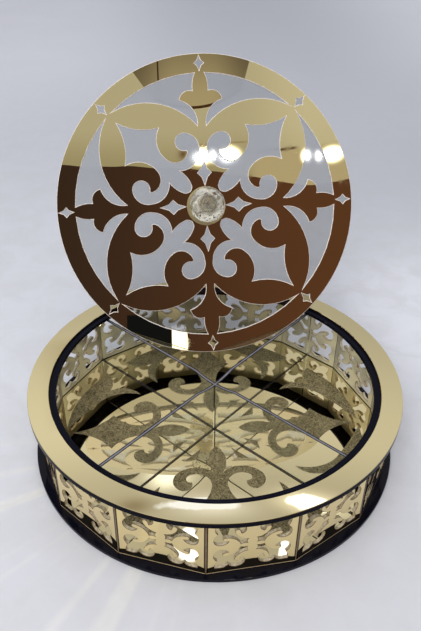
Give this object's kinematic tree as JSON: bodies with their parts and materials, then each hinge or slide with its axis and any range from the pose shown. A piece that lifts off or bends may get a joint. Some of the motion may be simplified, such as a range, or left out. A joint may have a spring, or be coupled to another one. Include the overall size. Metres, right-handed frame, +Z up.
{
  "type": "sweets box",
  "caption": "Round mirror-acrylic sweets box: fretted panel walls, four compartments between clear dividers, and a fretwork lid with a crystal knob, stood open.",
  "frame": {"origin": "centre of the round base's underside", "axes": "+Z up, -Y to the front of the box, the lid stands in the +Y compartment, +X to the right seen from the front"},
  "size_m": [0.3, 0.3449, 0.2687],
  "materials": {
    "gold_mirror": "gold mirror acrylic, cut edges pale",
    "black_acrylic": "gloss",
    "clear_acrylic": "polished clear acrylic",
    "gold_metal": "polished",
    "crystal": "faceted crystal",
    "steel": "plated"
  },
  "bodies": {
    "box": {"base_disc": "black_acrylic", "floor_mirror": "gold_mirror", "wall_panel_01": "gold_mirror", "wall_panel_02": "gold_mirror", "wall_panel_03": "gold_mirror", "wall_panel_04": "gold_mirror", "wall_panel_05": "gold_mirror", "wall_panel_06": "gold_mirror", "wall_panel_07": "gold_mirror", "wall_panel_08": "gold_mirror", "wall_panel_09": "gold_mirror", "wall_panel_10": "gold_mirror", "wall_panel_11": "gold_mirror", "wall_panel_12": "gold_mirror", "wall_panel_13": "gold_mirror", "wall_panel_14": "gold_mirror", "ledge_ring": "black_acrylic", "rim_ring": "gold_mirror", "divider_a": "clear_acrylic", "divider_b": "clear_acrylic"},
    "lid": {"lid_glass": "clear_acrylic", "lid_fret": "gold_mirror", "knob_collar": "gold_metal", "knob_ball": "crystal", "knob_washer": "steel", "knob_screw": "steel"}
  },
  "joints": [
    {"name": "lid_lift", "type": "slide", "parent": "box", "child": "lid", "axis": [0, 0, 1], "range_m": [0, 0.12]}
  ]
}
